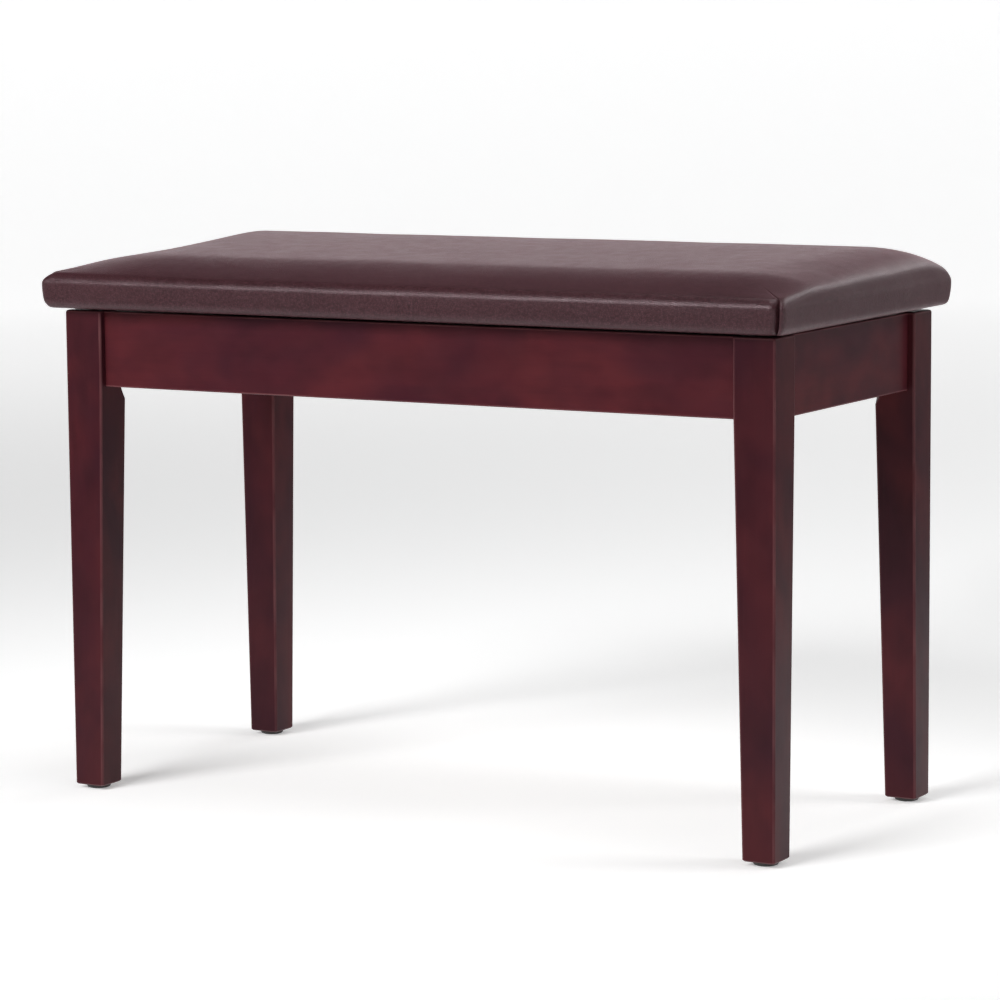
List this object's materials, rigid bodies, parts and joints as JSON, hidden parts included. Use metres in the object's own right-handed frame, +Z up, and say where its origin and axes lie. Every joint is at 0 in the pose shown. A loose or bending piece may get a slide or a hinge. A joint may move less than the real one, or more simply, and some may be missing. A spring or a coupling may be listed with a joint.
{
  "type": "piano bench",
  "caption": "Wooden duet piano bench with square tapered legs, recessed aprons and a hinged, padded lid over a music compartment.",
  "frame": {"origin": "on the floor, under the middle of the seat", "axes": "+X along the bench's length to the right of the person facing its front, +Y from the front to the hinged back, +Z up"},
  "size_m": [0.747, 0.356, 0.5],
  "materials": {
    "satin_wood": "satin",
    "plain_wood": "matte",
    "hardboard": "matte",
    "cover": "satin",
    "foam": "matte",
    "black_cloth": "matte",
    "zinc_steel": "satin",
    "brass": "satin",
    "dark_plastic": "matte",
    "nylon": "matte",
    "felt": "matte"
  },
  "bodies": {
    "bench_frame": {"leg_front_left": "satin_wood", "leg_front_right": "satin_wood", "leg_back_left": "satin_wood", "leg_back_right": "satin_wood", "apron_front": "satin_wood", "apron_back": "satin_wood", "apron_left": "satin_wood", "apron_right": "satin_wood", "cleat_front": "plain_wood", "cleat_back": "plain_wood", "cleat_left": "plain_wood", "cleat_right": "plain_wood", "bottom_panel": "hardboard", "corner_block_front_left": "plain_wood", "corner_block_front_right": "plain_wood", "corner_block_back_left": "plain_wood", "corner_block_back_right": "plain_wood", "hanger_bolt_front_left": "zinc_steel", "hanger_bolt_front_right": "zinc_steel", "hanger_bolt_back_left": "zinc_steel", "hanger_bolt_back_right": "zinc_steel", "washer_front_left": "zinc_steel", "washer_front_right": "zinc_steel", "washer_back_left": "zinc_steel", "washer_back_right": "zinc_steel", "wing_nut_front_left": "zinc_steel", "wing_nut_front_right": "zinc_steel", "wing_nut_back_left": "zinc_steel", "wing_nut_back_right": "zinc_steel", "glide_front_left": "dark_plastic", "glide_front_right": "dark_plastic", "glide_back_left": "dark_plastic", "glide_back_right": "dark_plastic", "bumper_front_left": "felt", "bumper_front_right": "felt", "bumper_back_left": "felt", "bumper_back_right": "felt", "hinge_leaf_fixed_left": "brass", "hinge_leaf_fixed_right": "brass", "hinge_pin_left": "brass", "hinge_pin_right": "brass", "stay_track": "zinc_steel"},
    "lid": {"seat_cover": "cover", "seat_foam": "foam", "seat_board": "plain_wood", "dust_cover": "black_cloth", "hinge_leaf_lid_left": "brass", "hinge_leaf_lid_right": "brass", "stay_lid_bracket": "zinc_steel", "stay_rivet": "zinc_steel"},
    "stay_arm": {"stay_arm": "zinc_steel"},
    "stay_slider": {"stay_slider": "nylon"}
  },
  "joints": [
    {"name": "lid_hinge", "type": "hinge", "parent": "bench_frame", "child": "lid", "pos_m": [0, 0.1588, 0.4439], "axis": [-1, 0, 0], "range_deg": [0, 68]},
    {"name": "stay_lid_pivot", "type": "hinge", "parent": "lid", "child": "stay_arm", "pos_m": [-0.3256, 0.0449, 0.43913], "axis": [-1, 0, 0], "range_deg": [-136, 0]},
    {"name": "stay_slider_pivot", "type": "hinge", "parent": "stay_arm", "child": "stay_slider", "pos_m": [-0.3256, -0.06377, 0.40465], "axis": [-1, 0, 0], "range_deg": [0, 68]}
  ],
  "couplings": [
    {"joint": "stay_lid_pivot", "follows": "lid_hinge", "ratio": -2},
    {"joint": "stay_slider_pivot", "follows": "lid_hinge", "ratio": 1}
  ]
}
